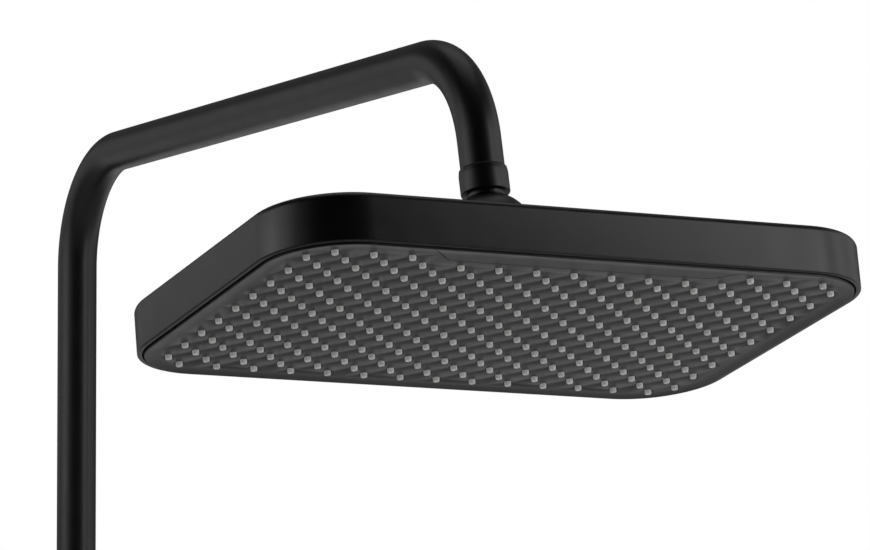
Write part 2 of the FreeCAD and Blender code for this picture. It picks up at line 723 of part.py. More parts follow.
def chamber_cover():
    """Water box: plate, side wall and flange in one piece, with the inlet spigot on top."""
    low = FACE_BACK_Z + MAT_THICK
    plate = head_slab(BOX_INSET, BOX_TOP_Z - BOX_PLATE, BOX_TOP_Z)
    wall = head_frame(BOX_INSET, BOX_INSET + BOX_WALL, low, BOX_TOP_Z - BOX_PLATE)
    flange = head_frame(MAT_INSET, BOX_INSET + BOX_WALL, low, low + FLANGE_THICK)
    spigot = Part.makeCylinder(SPIGOT_R, SPIGOT_TOP - BOX_TOP_Z, V(0, 0, BOX_TOP_Z))
    body = plate.fuse([wall, flange, spigot])
    groove = ring(7.1, SPIGOT_R + 1, -16.6, -15.0)
    bore = Part.makeCylinder(SPIGOT_BORE_R, 20, V(0, 0, SPIGOT_TOP - 19))
    cuts = [groove, bore]
    for x, y in screw_points():
        cuts.append(Part.makeCylinder(SCREW_R + 0.1, 2 * FLANGE_THICK, V(x, y, low - 0.5)))
    return at_head(body.cut(cuts))


def inlet_o_ring():
    return at_head(torus(7.85, 0.72, -15.8))


def chamber_screws():
    """Screws from the flange through the mat into the face plate."""
    head_low = FACE_BACK_Z + MAT_THICK + FLANGE_THICK
    end = FACE_BACK_Z - 1.4
    screws = []
    for x, y in screw_points():
        screw = turned((0, end), (SCREW_R, end), (SCREW_R, head_low), (SCREW_HEAD_R, head_low),
                       (SCREW_HEAD_R, head_low + 0.9), (SCREW_HEAD_R - 0.8, head_low + 1.6),
                       (0, head_low + 1.6))
        screw.translate(V(x, y, 0))
        screws.append(screw)
    return at_head(Part.makeCompound(screws))


def nozzle_mat():
    """Silicone sheet with a tapered nozzle at each point, seen through the face plate."""
    points = nozzle_points()
    tip = FACE_Z - NOZZLE_OUT
    sheet = drilled_slab(MAT_INSET, FACE_BACK_Z, FACE_BACK_Z + MAT_THICK, points, ORIFICE_R)
    nozzles = []
    for x, y in points:
        nozzle = turned((ORIFICE_R, FACE_BACK_Z), (NOZZLE_R, FACE_BACK_Z), (NOZZLE_TIP_R, tip),
                        (ORIFICE_R, tip))
        nozzle.translate(V(x, y, 0))
        nozzles.append(nozzle)
    mat = sheet.multiFuse(nozzles)
    holes = []
    for x, y in screw_points():
        holes.append(Part.makeCylinder(SCREW_R + 0.05, 2 * MAT_THICK, V(x, y, FACE_BACK_Z - 0.5)))
    return at_head(mat.cut(holes))


def strip_side(shift):
    """Edges along the engraved line, moved sideways by shift, from its left end to its right end."""
    turn = math.radians(STRIP_TURN)
    setback = STRIP_BEND_R * math.tan(turn / 2)
    centre = V(STRIP_HALF - setback, STRIP_Y - STRIP_BEND_R, 0)
    radius = STRIP_BEND_R + shift
    arc_points = []
    for angle in (math.pi / 2, math.pi / 2 - turn / 2, math.pi / 2 - turn):
        arc_points.append(centre + V(radius * math.cos(angle), radius * math.sin(angle), 0))
    ahead = V(math.cos(turn), -math.sin(turn), 0)
    end = arc_points[2] + ahead * (STRIP_END_LEG - setback)
    mirrored = [V(-point.x, point.y, 0) for point in arc_points]
    left_end = V(-end.x, end.y, 0)
    return [Part.makeLine(left_end, mirrored[2]), Part.Arc(*mirrored[::-1]).toShape(),
            Part.makeLine(mirrored[0], arc_points[0]), Part.Arc(*arc_points).toShape(),
            Part.makeLine(arc_points[2], end)], left_end, end


def dish_hollow():
    """The space under the face: flat in the middle, with a slope down to the edge all round."""
    inset = HEAD_WALL + GROOVE + FACE_EDGE
    sections = [head_outline(inset, FACE_Z - FACE_DISH - 1.0)]
    for i in range(DISH_STEPS + 1):
        outwards = 1 - i / DISH_STEPS
        fall = FACE_DISH * outwards ** 1.5
        sections.append(head_outline(inset + (1 - outwards) * FACE_DISH_WIDTH, FACE_Z - fall))
    return Part.makeLoft(sections, True, True)


def engraved_line(hollow):
    """The solid that cuts the thin line, equally deep in the flat and in the slope."""
    upper, upper_left, upper_right = strip_side(STRIP_LINE / 2)
    lower, lower_left, lower_right = strip_side(-STRIP_LINE / 2)
    ends = [Part.makeLine(upper_left, lower_left), Part.makeLine(upper_right, lower_right)]
    band = Part.Face(Part.Wire(Part.__sortEdges__(upper + lower + ends)))
    line = band.extrude(V(0, 0, 3.0))
    line.translate(V(0, 0, FACE_Z + 1.0 - 3.0))
    raised = hollow.copy()
    raised.translate(V(0, 0, STRIP_DEPTH))
    return line.common(raised)


def face_plate():
    """Perforated face, dished along its edge, with a thin engraved line by the front."""
    inset = HEAD_WALL + GROOVE
    hollow = dish_hollow()
    blank = drilled_slab(inset, FACE_Z - FACE_DISH, FACE_BACK_Z, nozzle_points(), FACE_HOLE_R)
    rim = head_frame(inset, MAT_INSET - 0.2, FACE_BACK_Z, FACE_RIM_TOP_Z)
    body = blank.cut(hollow).fuse(rim)
    cuts = [engraved_line(hollow)]
    for x, y in screw_points():
        cuts.append(Part.makeCylinder(SCREW_R + 0.05, 3.0, V(x, y, FACE_BACK_Z - 1.5)))
    return at_head(body.cut(cuts))


def rim_seal():
    """Soft strip at the bottom of the groove between lip and face plate."""
    return at_head(head_frame(HEAD_WALL, HEAD_WALL + GROOVE, FACE_RIM_TOP_Z - 1.6, FACE_RIM_TOP_Z))


# ---- export -------------------------------------------------------------------------------------

MAKERS = (inlet_elbow, inlet_rosette, rosette_seal, riser_union_nut, riser_olive,
          riser_tube, riser_coupler, coupler_o_rings, arm_thrust_washer,
          bracket_base, bracket_post, bracket_rosette, bracket_clamp, arm_bush, bracket_grub_screws,
          arm_tube, arm_stop_pin, arm_nipple, flow_restrictor, filter_screen, stem_washer,
          swivel_nut, ball_stem, ball_seat_upper, ball_seat_lower,
          socket_cap, socket_ring_nut, socket_body, ball_seal,
          head_housing, chamber_cover, inlet_o_ring, chamber_screws, nozzle_mat, face_plate, rim_seal)

os.makedirs("parts", exist_ok=True)
for maker in MAKERS:
    shape = maker()
    name = maker.__name__
    shape.exportStep(os.path.join("parts", name + ".step"))
    print(name, "valid" if shape.isValid() else "NOT VALID", len(shape.Solids), "solids",
          round(shape.Volume / 1000, 2), "cm3")
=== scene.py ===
"""Shower column with a rectangular rain head. Its looks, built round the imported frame.

The frame is in metres, +Z up, with the wall at y = 0. The sizes here are in millimetres.
"""
import bmesh
import bpy
import json
import math
from mathutils import Matrix, Vector


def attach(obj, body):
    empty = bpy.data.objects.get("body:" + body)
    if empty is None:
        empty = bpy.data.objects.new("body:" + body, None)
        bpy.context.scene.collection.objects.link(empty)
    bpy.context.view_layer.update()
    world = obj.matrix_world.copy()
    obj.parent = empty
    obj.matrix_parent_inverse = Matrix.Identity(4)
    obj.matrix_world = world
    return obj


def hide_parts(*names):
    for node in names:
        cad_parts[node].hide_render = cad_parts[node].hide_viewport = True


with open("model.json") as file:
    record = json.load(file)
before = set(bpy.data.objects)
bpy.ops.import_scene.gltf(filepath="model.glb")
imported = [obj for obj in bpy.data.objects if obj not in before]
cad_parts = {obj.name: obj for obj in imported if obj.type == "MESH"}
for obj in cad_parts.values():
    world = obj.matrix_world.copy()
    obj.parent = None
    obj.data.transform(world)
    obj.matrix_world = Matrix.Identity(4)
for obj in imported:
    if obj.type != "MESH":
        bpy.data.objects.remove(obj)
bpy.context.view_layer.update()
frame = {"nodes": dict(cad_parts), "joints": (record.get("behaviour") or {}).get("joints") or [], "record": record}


# ---- inlet elbow --------------------------------------------------------------------------------
# A cast brass elbow, coated black outside. Its bare thread screws into the wall, and the riser
# stands in its upper socket. The casting's corners are blended by remeshing the joined bodies.

MM = 0.001
TINY = 1e-5
BLOTCH = 14.0            # width of the soft blotches in every finish
BRANCH_STEP = 3.0        # how far the branch's wall lies inside the corner's ball
SOCKET_STEP = 2.0
BALL_STEPS = 24
CAST_VOXEL = 0.7
SOFTEN = 0.5
SOFTEN_ROUNDS = 6
ELBOW_CORE_R = 7.5
THREAD_PITCH = 1.814
THREAD_DEPTH = 1.16
THREAD_START = -1.0      # inside the casting
THREAD_SIDES = 72
ROWS_A_TURN = 8
END_TAPER = 1.2          # length of the thread's tapered end
END_PLAIN = 0.3          # length without a ridge


def extent(node, place=Matrix()):
    """Lowest and highest corner of a solid of the frame, along a place's own axes."""
    back = place.inverted()
    spots = [back @ (v.co / MM) for v in frame["nodes"][node].data.vertices]
    lowest = Vector([min(spot[axis] for spot in spots) for axis in range(3)])
    highest = Vector([max(spot[axis] for spot in spots) for axis in range(3)])
    return lowest, highest


def rounded(corners, steps):
    """An outline through corners (r, z, round), with an arc of radius round in each corner."""
    outline = []
    for i, corner in enumerate(corners):
        here = Vector(corner[:2])
        radius = corner[2] if len(corner) == 3 else 0
        if radius == 0:
            outline.append(here)
            continue
        back = (Vector(corners[i - 1][:2]) - here).normalized()
        ahead = (Vector(corners[(i + 1) % len(corners)][:2]) - here).normalized()
        half = back.angle(ahead) / 2
        centre = here + (back + ahead).normalized() * radius / math.sin(half)
        first = here + back * radius / math.tan(half) - centre
        last = here + ahead * radius / math.tan(half) - centre
        sweep = first.angle(last)
        for k in range(steps + 1):
            part = sweep * k / steps
            outline.append(centre + (first * math.sin(sweep - part) + last * math.sin(part))
                           / math.sin(sweep))
    return outline


def ring(solid, radius, height, sides):
    """Corners about Z. The radius is a number, or a function of the angle."""
    corners = []
    for k in range(sides):
        angle = 2 * math.pi * k / sides
        r = radius(angle) if callable(radius) else radius
        corners.append(solid.verts.new((r * math.cos(angle), r * math.sin(angle), height)))
    return corners


def skin(solid, loops, closed=True):
    """Faces from each loop of corners to the next. A loop of one corner is a tip."""
    for here, following in zip(loops, loops[1:] + loops[:1] * closed):
        for k in range(max(len(here), len(following))):
            around = (here[k % len(here)], here[(k + 1) % len(here)],
                      following[(k + 1) % len(following)], following[k % len(following)])
            corners = list(dict.fromkeys(around))
            if len(corners) > 2:
                solid.faces.new(corners)


def placed(solid, place):
    """The bmesh with its faces turned outwards, in its place."""
    bmesh.ops.recalc_face_normals(solid, faces=solid.faces)
    solid.transform(place)
    return solid


def lathe(corners, place=Matrix(), sides=96, steps=5):
    """A solid turned about Z from an outline, as a bmesh in millimetres."""
    solid = bmesh.new()
    loops = []
    for r, z in rounded(corners, steps):
        loops.append([solid.verts.new((0, 0, z))] if r < TINY else ring(solid, r, z, sides))
    skin(solid, loops)
    bmesh.ops.remove_doubles(solid, verts=solid.verts, dist=TINY)
    return placed(solid, place)


def creased(solid, mesh, crease):
    """Writes a bmesh into a mesh, smooth but for edges that turn by more than crease degrees."""
    for face in solid.faces:
        face.smooth = True
    for edge in solid.edges:
        edge.smooth = len(edge.link_faces) == 2 and edge.calc_face_angle() < math.radians(crease)
    solid.to_mesh(mesh)
    solid.free()


def as_piece(name, solid, crease=32):
    """A shown object from a bmesh in millimetres."""
    solid.transform(Matrix.Scale(MM, 4))
    mesh = bpy.data.meshes.new(name)
    creased(solid, mesh, crease)
    piece = bpy.data.objects.new(name, mesh)
    bpy.context.collection.objects.link(piece)
    return piece


def joined(*solids):
    """Several bmeshes as one."""
    whole = solids[0]
    for other in solids[1:]:
        carrier = bpy.data.meshes.new("carrier")
        other.to_mesh(carrier)
        other.free()
        whole.from_mesh(carrier)
        bpy.data.meshes.remove(carrier)
    return whole


def settled(piece):
    """The piece's modifiers, worked into its mesh."""
    solid = bmesh.new()
    solid.from_object(piece, bpy.context.evaluated_depsgraph_get())
    piece.modifiers.clear()
    solid.to_mesh(piece.data)
    solid.free()
    return piece


def dress(piece, body, slot, material, *nodes):
    """Gives a piece its finish, and hangs it on its body in place of the solids it stands for."""
    piece.data.materials.clear()
    piece.data.materials.append(material)
    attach(piece, body)
    if nodes:
        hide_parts(*nodes)


def feed(tree, node, inputs):
    """Sets a node's inputs, each to a value or to a link from another socket."""
    for label, value in dict(inputs).items():
        if isinstance(value, bpy.types.NodeSocket):
            tree.links.new(value, node.inputs[label])
        else:
            node.inputs[label].default_value = value


def add(tree, kind, inputs=(), **settings):
    """A new node with its settings and its inputs."""
    node = tree.nodes.new(kind)
    for label, value in settings.items():
        setattr(node, label, value)
    feed(tree, node, inputs)
    return node


def maths(tree, operation, *values):
    """The result of a Math node."""
    return add(tree, "ShaderNodeMath", enumerate(values), operation=operation).outputs[0]


def noise(tree, where, size, detail):
    """A noise whose lumps are about size millimetres wide."""
    return add(tree, "ShaderNodeTexNoise", {"Vector": where, "Scale": 1 / (size * MM),
                                            "Detail": detail}).outputs["Fac"]


def ranged(tree, value, low, high):
    """The middle of a noise spread over low to high."""
    return add(tree, "ShaderNodeMapRange", {"Value": value, "From Min": 0.3, "From Max": 0.7,
                                            "To Min": low, "To Max": high}).outputs["Result"]


def finish(name, dark, light, rough, swing, grain, relief, metal=0.0, level=0.5):
    """Two close colours in soft blotches, gloss that varies by swing, and a fine grain."""
    material = bpy.data.materials.new(name)
    material.use_nodes = True
    tree = material.node_tree
    where = add(tree, "ShaderNodeTexCoord").outputs["Object"]
    blotches = noise(tree, where, BLOTCH, detail=4)
    grains = noise(tree, where, grain, detail=3)
    colour = add(tree, "ShaderNodeMix", {"Factor": ranged(tree, blotches, 0, 1), "A": (*dark, 1),
                                         "B": (*light, 1)}, data_type="RGBA")
    gloss = maths(tree, "ADD", ranged(tree, blotches, rough - swing / 2, rough + swing / 2),
                  ranged(tree, grains, -swing / 2, swing / 2))
    bump = add(tree, "ShaderNodeBump", {"Height": grains, "Strength": 1.0,
                                        "Distance": relief * MM})
    feed(tree, tree.nodes["Principled BSDF"], {
        "Base Color": colour.outputs["Result"], "Roughness": gloss,
        "Normal": bump.outputs["Normal"], "Metallic": metal, "Specular IOR Level": level})
    return material


black_coat = finish("black_coat", (0.0045, 0.0045, 0.0048), (0.0065, 0.0065, 0.0068),
                    rough=0.38, swing=0.05, grain=0.35, relief=0.006)
bare_brass = finish("bare_brass", (0.52, 0.36, 0.15), (0.66, 0.48, 0.22),
                    rough=0.32, swing=0.14, grain=0.25, relief=0.008, metal=1.0)

riser_low, riser_high = extent("riser_tube")
RISER_Y = (riser_low.y + riser_high.y) / 2
TUBE_R = (riser_high.x - riser_low.x) / 2
RISER = Matrix.Translation((0, RISER_Y, 0))
elbow_low, elbow_high = extent("inlet_elbow")
SPIGOT_END = elbow_high.y
SOCKET_TOP = elbow_high.z
ELBOW_BALL_R = elbow_high.x
ELBOW_R = ELBOW_BALL_R - BRANCH_STEP
SOCKET_R = ELBOW_BALL_R - SOCKET_STEP
thread_r = frame["record"]["mounts"][0]["dims"]["r_mm"]


def out_of_wall(height):
    """Place whose +Z points out of the wall."""
    return Matrix.Translation((0, 0, height)) @ Matrix.Rotation(math.radians(90), 4, "X")


def cast_elbow():
    """Branch, ball corner and socket as one casting with blended corners and an open bore."""
    ball = [(0, -ELBOW_BALL_R)]
    for k in range(1, BALL_STEPS):
        turn = math.pi * k / BALL_STEPS
        ball.append((ELBOW_BALL_R * math.sin(turn), -ELBOW_BALL_R * math.cos(turn)))
    ball.append((0, ELBOW_BALL_R))
    outside = joined(
        lathe([(0, 0), (ELBOW_R, 0), (ELBOW_R, -RISER_Y), (0, -RISER_Y)], out_of_wall(0)),
        lathe(ball, RISER),
        lathe([(0, 0), (SOCKET_R, 0), (SOCKET_R, SOCKET_TOP, 1), (0, SOCKET_TOP)], RISER))
    casting = as_piece("inlet_elbow_dressed", outside)
    shrink = casting.modifiers.new("blend", "REMESH")
    shrink.mode = "VOXEL"
    shrink.voxel_size = CAST_VOXEL * MM
    soften = casting.modifiers.new("soften", "SMOOTH")
    soften.factor = SOFTEN
    soften.iterations = SOFTEN_ROUNDS
    return settled(casting)


def thread_fall(along, angle):
    """How far the thread lies below its crest, as a part of its depth."""
    phase = (along / THREAD_PITCH + angle / (2 * math.pi)) % 1
    return max(0.08, min(0.92, abs(2 * phase - 1)))


def threaded_spigot():
    """Half inch pipe thread as one helical ridge, with the bore through it."""
    length = SPIGOT_END - THREAD_START
    rows = int(length / THREAD_PITCH * ROWS_A_TURN)
    spigot = bmesh.new()
    loops = []
    for row in range(rows + 1):
        along = THREAD_START + length * row / rows
        crest_r = thread_r - max(0, along - SPIGOT_END + END_TAPER)
        depth = THREAD_DEPTH * (along < SPIGOT_END - END_PLAIN)
        loops.append(ring(spigot, lambda angle: crest_r - depth * thread_fall(along, angle),
                          -along, THREAD_SIDES))
    for along in (SPIGOT_END, THREAD_START):
        loops.append(ring(spigot, ELBOW_CORE_R, -along, THREAD_SIDES))
    skin(spigot, loops)
    return placed(spigot, out_of_wall(0))


dress(cast_elbow(), "column", "black_coat", black_coat, "inlet_elbow")
dress(as_piece("inlet_thread", threaded_spigot()), "column", "brass", bare_brass)


# ---- inlet rosette and its seal -----------------------------------------------------------------
# A spun brass cover over the hole in the wall, with a soft ring behind its rim.

ROSETTE_BEND = 6.0
ROSETTE_WALL = 1.6
ROSETTE_GAP = 0.1
SEAL_WIDTH = 4.2
SEAL_THICK = 1.2

black_rubber = finish("black_rubber", (0.012, 0.012, 0.012), (0.02, 0.02, 0.02),
                      rough=0.62, swing=0.08, grain=0.3, relief=0.01, level=0.4)


def rosette(radius, depth, hole):
    """A dished plate about Z, its rim on z = 0."""
    inner = radius - ROSETTE_WALL
    level = depth - ROSETTE_WALL
    return [(radius, 0, 0.4), (radius, depth, ROSETTE_BEND), (hole, depth, 0.3), (hole, level),
            (inner, level, ROSETTE_BEND - ROSETTE_WALL), (inner, 0, 0.3)]


def stand_in(node, solid, body, slot, material, crease=32):
    """Shows a bmesh in place of a solid of the frame."""
    dress(as_piece(node + "_dressed", solid, crease), body, slot, material, node)


inlet_low, inlet_high = extent("inlet_rosette")
inlet_cover = rosette(inlet_high.x, -inlet_low.y, ELBOW_R + ROSETTE_GAP)
stand_in("inlet_rosette", lathe(inlet_cover, out_of_wall(0), 128, 8),
         "column", "black_coat", black_coat)

seal_r = extent("rosette_seal")[1].x
soft_ring = [(seal_r - SEAL_WIDTH, 0), (seal_r, 0), (seal_r, SEAL_THICK, 0.3),
             (seal_r - SEAL_WIDTH, SEAL_THICK, 0.3)]
stand_in("rosette_seal", lathe(soft_ring, out_of_wall(0)), "column", "rubber", black_rubber)


# ---- union nut and olive ------------------------------------------------------------------------
# A turned hexagon nut pulls the riser into the elbow and presses the olive under it. The olive is
# hidden and keeps its solid.

NUT_CHAMFER = 2.2
NUT_RISE = 0.6           # the chamfer's height for its depth
NUT_CORNER_CUT = 0.25
NUT_GAP = 0.15
NUT_STEPS = 10
NUT_SIDES = 144

nut_low, nut_high = extent("riser_union_nut")


def hexagon_r(corner_r, angle):
    """Radius of a hexagon at an angle."""
    off_flat = (angle + math.pi / 6) % (math.pi / 3) - math.pi / 6
    return corner_r * math.cos(math.pi / 6) / math.cos(abs(off_flat) - math.pi / 6)


def hexagon_nut(corner_r, low, high, bore):
    """A hexagon with both ends turned to a cone, so that its flats end in arcs."""
    rise = NUT_CHAMFER * NUT_RISE
    heights = [low + rise * k / NUT_STEPS for k in range(NUT_STEPS + 1)]
    heights += [high - rise + rise * k / NUT_STEPS for k in range(NUT_STEPS + 1)]
    nut = bmesh.new()
    loops = []
    for height in heights:
        into = max(0, (low + rise - height) / rise, (height - high + rise) / rise)
        turned_r = corner_r - max(NUT_CHAMFER * into, NUT_CORNER_CUT)
        loops.append(ring(nut, lambda angle: min(hexagon_r(corner_r, angle), turned_r),
                          height, NUT_SIDES))
    for height in (high, low):
        loops.append(ring(nut, bore, height, NUT_SIDES))
    skin(nut, loops)
    return placed(nut, RISER)


stand_in("riser_union_nut", hexagon_nut(nut_high.x, nut_low.z, nut_high.z, TUBE_R + NUT_GAP),
         "column", "black_coat", black_coat)


# ---- riser --------------------------------------------------------------------------------------
# Straight drawn brass tube, polished and coated matt black.

TUBE_WALL = 1.2

TUBE_BORE_R = TUBE_R - TUBE_WALL
riser = lathe([(TUBE_BORE_R, riser_low.z), (TUBE_R, riser_low.z), (TUBE_R, riser_high.z, 0.3),
               (TUBE_BORE_R, riser_high.z)], RISER, 128)
stand_in("riser_tube", riser, "column", "black_coat", black_coat)


# ---- wall bracket -------------------------------------------------------------------------------
# Base, post and clamp ring that hold the riser off the wall and let the arm swing in the bush.

CLAMP_EDGE = 1.5
CLAMP_GAP = 0.05         # to the riser
ARM_GAP = 0.4            # to the arm, under its bush
BUSH_WALL = 2.0
BUSH_DEPTH = 12.0
BUSH_GAP = 0.08
GRUB_R = 2.5
GRUB_MOUTH_R = 3.1
GRUB_MOUTH = 0.3
PAST = 2.0               # how far a cutter reaches past what it cuts
POST_INTO_CLAMP = 0.5
COVER_HOLE_R = 11.1
WELD = 0.002             # how far apart corners are taken for one

bright_steel = finish("bright_steel", (0.42, 0.43, 0.44), (0.52, 0.53, 0.54),
                      rough=0.28, swing=0.1, grain=0.3, relief=0.004, metal=1.0)
white_acetal = finish("white_acetal", (0.72, 0.72, 0.69), (0.79, 0.79, 0.77),
                      rough=0.42, swing=0.06, grain=0.5, relief=0.004)

clamp_low, clamp_high = extent("bracket_clamp", RISER)
CLAMP_R = clamp_high.x
post_low, post_high = extent("bracket_post")
BRACKET_Z = (post_low.z + post_high.z) / 2
POST_R = (post_high.z - post_low.z) / 2


def cut_by(piece, *cutters, crease=32):
    """Takes the cutters out of the piece."""
    for cutter in cutters:
        tool = as_piece("cutter", cutter)
        cut = piece.modifiers.new("cut", "BOOLEAN")
        cut.operation = "DIFFERENCE"
        cut.solver = "EXACT"
        cut.object = tool
        settled(piece)
        mesh = tool.data
        bpy.data.objects.remove(tool)
        bpy.data.meshes.remove(mesh)
    solid = bmesh.new()
    solid.from_mesh(piece.data)
    creased(solid, piece.data, crease)
    return piece


def sideways(side):
    """Place on the riser's axis whose +Z points to one side, at the bracket's height."""
    turn = Matrix.Rotation(math.radians(90 * side), 4, "Y")
    return Matrix.Translation((0, RISER_Y, BRACKET_Z)) @ turn


clamp_rows = [(CLAMP_R, BRACKET_Z + step) for step in range(-4, 5)]
bush_foot = clamp_high.z - BUSH_DEPTH
clamp_ring = lathe([(TUBE_R + CLAMP_GAP, clamp_low.z), (CLAMP_R, clamp_low.z, CLAMP_EDGE)]
                   + clamp_rows
                   + [(CLAMP_R, clamp_high.z, CLAMP_EDGE), (TUBE_R + BUSH_WALL, clamp_high.z),
                      (TUBE_R + BUSH_WALL, bush_foot), (TUBE_R + ARM_GAP, bush_foot),
                      (TUBE_R + ARM_GAP, riser_high.z), (TUBE_R + CLAMP_GAP, riser_high.z)],
                   RISER, 180)
grub_bore = [(0, TUBE_R + PAST), (GRUB_R, TUBE_R + PAST), (GRUB_R, CLAMP_R - GRUB_MOUTH),
             (GRUB_MOUTH_R, CLAMP_R + GRUB_MOUTH), (GRUB_MOUTH_R, CLAMP_R + PAST),
             (0, CLAMP_R + PAST)]
grub_bores = [lathe(grub_bore, sideways(side), 32) for side in (-1, 1)]
clamp = cut_by(as_piece("bracket_clamp_dressed", clamp_ring), *grub_bores)
dress(clamp, "column", "black_coat", black_coat, "bracket_clamp")

post_end = -RISER_Y - CLAMP_R + POST_INTO_CLAMP
post = lathe([(0, -post_high.y), (POST_R, -post_high.y, 0.4), (POST_R, post_end), (0, post_end)],
             out_of_wall(BRACKET_Z))
stand_in("bracket_post", post, "column", "black_coat", black_coat)

cover_low, cover_high = extent("bracket_rosette")
cover = rosette(cover_high.x, -cover_low.y, COVER_HOLE_R)
stand_in("bracket_rosette", lathe(cover, out_of_wall(BRACKET_Z), 128, 8),
         "column", "black_coat", black_coat)

bush_low, bush_high = extent("arm_bush", RISER)
bush = lathe([(TUBE_R + BUSH_GAP, bush_low.z), (bush_high.x, bush_low.z),
              (bush_high.x, bush_high.z, 0.3), (TUBE_R + BUSH_GAP, bush_high.z, 0.2)], RISER)
stand_in("arm_bush", bush, "column", "bearing_white", white_acetal)


def refined(node):
    """A solid of the frame with its triangles joined, so that its rounds shade smoothly."""
    solid = bmesh.new()
    solid.from_mesh(frame["nodes"][node].data)
    bmesh.ops.remove_doubles(solid, verts=solid.verts, dist=WELD * MM)
    solid.transform(Matrix.Scale(1 / MM, 4))
    return solid


stand_in("bracket_base", refined("bracket_base"), "column", "black_coat", black_coat)
stand_in("bracket_grub_screws", refined("bracket_grub_screws"), "column", "steel", bright_steel)


# ---- arm ----------------------------------------------------------------------------------------
# One drawn brass tube with two bends of the same radius. The second bend stops short of a right
# angle, so the last stretch leans outwards. Coated matt black with the riser.

joints = {joint["name"]: joint for joint in frame["joints"]}
BALL = Vector(joints["head_spin"]["pos_m"]) / MM
SPIN_AXIS = Vector(joints["head_spin"]["axis"])
TIP = Matrix.Translation(BALL) @ Matrix.Rotation(math.atan2(-SPIN_AXIS.y, SPIN_AXIS.z), 4, "X")
BEND_R = 60.0
BEND_RINGS = 40
TUBE_INTO_COLLAR = 1.5

arm_low, arm_high = extent("arm_tube")
collar_low, collar_high = extent("swivel_nut", TIP)
ARM_Z = arm_high.z - TUBE_R


def arm_stations():
    """Points of the arm's centreline, each with its direction, closer together in the bends."""
    foot = Vector((0, RISER_Y, arm_low.z))
    first = Vector((0, RISER_Y, ARM_Z))
    drop = -SPIN_AXIS
    corner = BALL - drop * ((BALL.z - ARM_Z) / drop.z)
    end = BALL - drop * (collar_high.z - TUBE_INTO_COLLAR)
    stations = [(foot, Vector((0, 0, 1)))]
    for middle, before, after in ((first, Vector((0, 0, 1)), Vector((0, -1, 0))),
                                  (corner, Vector((0, -1, 0)), drop)):
        turn = before.angle(after)
        start = middle - before * BEND_R * math.tan(turn / 2)
        inward = (after - before).normalized()
        centre = middle + inward * BEND_R / math.cos(turn / 2)
        for k in range(BEND_RINGS + 1):
            spin = Matrix.Rotation(turn * k / BEND_RINGS, 3, "X")
            stations.append((centre + spin @ (start - centre), spin @ before))
    stations.append((end, drop))
    return stations


def swept_tube(stations, outside, inside, sides=128):
    """A hollow tube through stations that all lie in one upright plane."""
    across = Vector((1, 0, 0))
    tube = bmesh.new()
    loops = []
    for radius, order in ((outside, stations), (inside, stations[::-1])):
        for point, ahead in order:
            up = ahead.cross(across)
            loop = []
            for k in range(sides):
                angle = 2 * math.pi * k / sides
                offset = across * math.cos(angle) + up * math.sin(angle)
                loop.append(tube.verts.new(point + offset * radius))
            loops.append(loop)
    skin(tube, loops)
    return placed(tube, Matrix())


stand_in("arm_tube", swept_tube(arm_stations(), TUBE_R, TUBE_BORE_R),
         "arm", "black_coat", black_coat)
stand_in("arm_stop_pin", refined("arm_stop_pin"), "arm", "steel", bright_steel)


# ---- collar and ball stem -----------------------------------------------------------------------
# A turned round nut with a soft shoulder holds the hollow ball stem on the arm's thread. Its nose,
# hollowed to follow the dome, sits in the dark gap below it.

COLLAR_SHOULDER = 3.4
COLLAR_CORNER = 0.8
COLLAR_RIM = 0.9         # width of the flat ring at the top
COLLAR_RIM_DROP = 0.8
NOSE_R = 9.8
NOSE_LENGTH = 1.9
HOLLOW_R = 25.35         # about the ball's centre
STEM_HOLE_R = 4.7
COLLAR_WEB = 4.2         # from the nose's end to the inside of the web
COLLAR_THREAD_R = 10.53
COLLAR_GAP = 0.06        # to the tube

COLLAR_R = collar_high.x
NOSE_END = collar_low.z


def arc(radius, start, end, steps, middle=0.0):
    """Points (r, z) on a circle whose centre is on the axis, at angles in degrees from +Z."""
    points = []
    for k in range(steps + 1):
        angle = math.radians(start + (end - start) * k / steps)
        points.append((radius * math.sin(angle), middle + radius * math.cos(angle)))
    return points


hole_angle = math.degrees(math.asin(STEM_HOLE_R / HOLLOW_R))
rim_angle = math.degrees(math.acos(NOSE_END / HOLLOW_R))
mouth_r = TUBE_R + COLLAR_GAP
tube_end = collar_high.z - TUBE_INTO_COLLAR
web = NOSE_END + COLLAR_WEB
collar = lathe(arc(HOLLOW_R, hole_angle, rim_angle, 8)
               + [(NOSE_R, NOSE_END + 0.05, 0.3), (NOSE_R, NOSE_END + NOSE_LENGTH, 0.2),
                  (COLLAR_R, NOSE_END + NOSE_LENGTH, COLLAR_CORNER),
                  (COLLAR_R, collar_high.z - COLLAR_SHOULDER, 2.0),
                  (TUBE_R + COLLAR_RIM, collar_high.z - COLLAR_RIM_DROP, 1.0),
                  (mouth_r, collar_high.z, 0.3), (mouth_r, tube_end), (COLLAR_THREAD_R, tube_end),
                  (COLLAR_THREAD_R, web), (STEM_HOLE_R, web)], TIP, 128)
stand_in("swivel_nut", collar, "arm", "black_coat", black_coat)
stand_in("ball_stem", refined("ball_stem"), "arm", "black_coat", black_coat)


# ---- ball socket --------------------------------------------------------------------------------
# A spun dome with a rounded mouth hides the threaded ring that clamps the ball and its two seats.

ROLL = 1.0               # degrees that the head leans sideways at rest
CAP_WALL = 2.0
CAP_CENTRE = 3.25        # the dome's own centre, over the ball's
CAP_MOUTH_R = 10.0
CAP_MOUTH_ROUND = 0.8
CAP_INNER_TURN = 3.0     # degrees that the inside starts further from the mouth

black_plastic = finish("black_plastic", (0.02, 0.02, 0.021), (0.028, 0.028, 0.03),
                       rough=0.5, swing=0.08, grain=0.4, relief=0.008)

